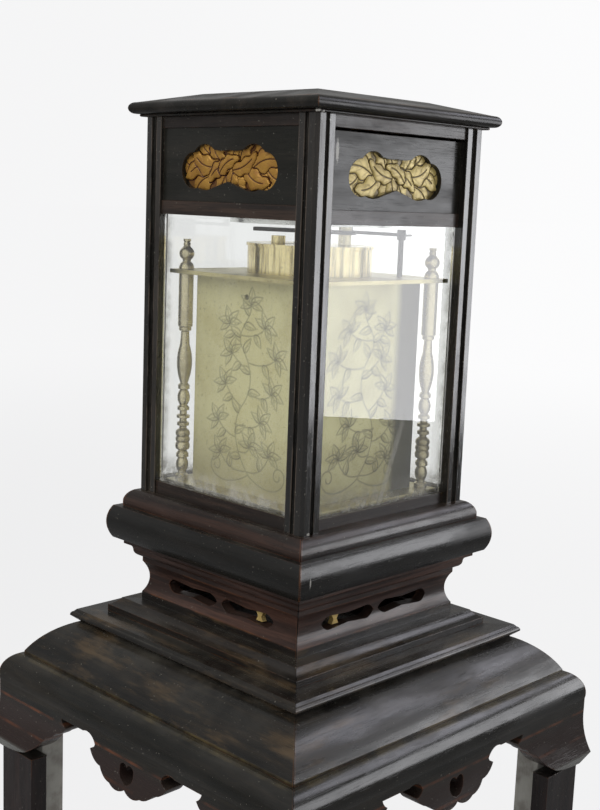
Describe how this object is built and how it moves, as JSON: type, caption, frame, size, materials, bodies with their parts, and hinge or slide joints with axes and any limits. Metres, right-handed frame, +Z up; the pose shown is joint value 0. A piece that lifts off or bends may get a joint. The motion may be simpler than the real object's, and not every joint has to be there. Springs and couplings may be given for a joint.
{
  "type": "daimyo clock",
  "caption": "Daimyo clock: pillared, engraved brass movement with balance, bell and hammer under a glazed lift-off hood with gilt friezes, on a moulded plinth and legged stand.",
  "frame": {"origin": "on the floor under the middle of the stand", "axes": "+Z up; the dial faces -Y and the loose panel is on the +Y side"},
  "size_m": [0.349, 0.349, 0.81],
  "materials": {
    "dark_wood": "satin",
    "gilt_wood": "gilt",
    "glass": "polished",
    "brass": "satin",
    "bell_metal": "polished",
    "dark_iron": "burnished"
  },
  "bodies": {
    "base": {"leg_back_right": "dark_wood", "leg_back_left": "dark_wood", "leg_front_left": "dark_wood", "leg_front_right": "dark_wood", "apron_right": "dark_wood", "apron_back": "dark_wood", "apron_left": "dark_wood", "apron_front": "dark_wood", "stand_shoulder": "dark_wood", "base_board": "dark_wood", "base_step": "dark_wood", "cove_panels": "dark_wood", "cove_cap": "dark_wood", "torus_moulding": "dark_wood", "sill_bead": "dark_wood", "plinth_floor": "dark_wood", "movement_seat": "dark_wood", "fret_studs": "gilt_wood", "bottom_plate": "brass", "top_plate": "brass", "corner_pillars": "brass", "finial_nuts": "brass", "box_panel_right": "brass", "box_panel_left": "brass", "box_panel_back": "brass", "dial_plate": "brass", "train_plates": "brass", "mainspring_barrels": "brass", "potence": "brass", "drum": "brass", "drum_lid": "brass", "bell_post": "brass", "bell_nut": "brass", "bell": "bell_metal", "chapter_ring": "bell_metal", "bell_bridge": "dark_iron", "bell_stud": "dark_iron"},
    "hood": {"corner_posts": "dark_wood", "top_rails": "dark_wood", "fixed_friezes": "dark_wood", "fixed_carvings": "gilt_wood", "fixed_mid_rails": "dark_wood", "fixed_panes": "glass", "fixed_bottom_rails": "dark_wood", "lid_bead": "dark_wood", "lid_board": "dark_wood", "lid_tier": "dark_wood"},
    "loose_panel": {"loose_frieze": "dark_wood", "loose_carving": "gilt_wood", "loose_pane": "glass", "loose_rails": "dark_wood"},
    "balance": {"balance": "brass"},
    "hammer": {"hammer": "dark_iron"},
    "going_great": {"going_great_wheel": "brass", "hand": "dark_iron"},
    "second": {"second_wheel": "brass"},
    "crown": {"crown_wheel": "brass"},
    "strike_great": {"strike_great_wheel": "brass"},
    "pin": {"pin_wheel": "brass"},
    "fly": {"fly": "brass"}
  },
  "joints": [
    {"name": "hood_lift", "type": "slide", "parent": "base", "child": "hood", "axis": [0, 0, 1], "range_m": [0, 0.27]},
    {"name": "loose_panel_lift", "type": "slide", "parent": "hood", "child": "loose_panel", "axis": [0, 0, 1], "range_m": [0, 0.0015]},
    {"name": "balance_swing", "type": "hinge", "parent": "base", "child": "balance", "pos_m": [0, 0, 0.688], "axis": [0, 0, 1], "range_deg": [-45, 45]},
    {"name": "hammer_lift", "type": "hinge", "parent": "base", "child": "hammer", "pos_m": [-0.0533, 0.0444, 0.71], "axis": [0, 0, 1], "range_deg": [0, 18]},
    {"name": "going_great_turn", "type": "hinge", "parent": "base", "child": "going_great", "pos_m": [0, 0, 0.59], "axis": [0, 1, 0], "continuous": true},
    {"name": "second_turn", "type": "hinge", "parent": "base", "child": "second", "pos_m": [0.01708, 0, 0.62339], "axis": [0, 1, 0], "continuous": true},
    {"name": "crown_turn", "type": "hinge", "parent": "base", "child": "crown", "pos_m": [0, 0, 0.64805], "axis": [0, 1, 0], "continuous": true},
    {"name": "strike_great_turn", "type": "hinge", "parent": "base", "child": "strike_great", "pos_m": [-0.02, 0, 0.55], "axis": [0, 1, 0], "continuous": true},
    {"name": "pin_wheel_turn", "type": "hinge", "parent": "base", "child": "pin", "pos_m": [-0.03585, 0, 0.58399], "axis": [0, 1, 0], "continuous": true},
    {"name": "fly_turn", "type": "hinge", "parent": "base", "child": "fly", "pos_m": [-0.03376, 0, 0.6079], "axis": [0, 1, 0], "continuous": true}
  ],
  "couplings": [
    {"joint": "second_turn", "follows": "going_great_turn", "ratio": -4},
    {"joint": "crown_turn", "follows": "going_great_turn", "ratio": 16},
    {"joint": "pin_wheel_turn", "follows": "strike_great_turn", "ratio": -4},
    {"joint": "fly_turn", "follows": "strike_great_turn", "ratio": 12}
  ]
}
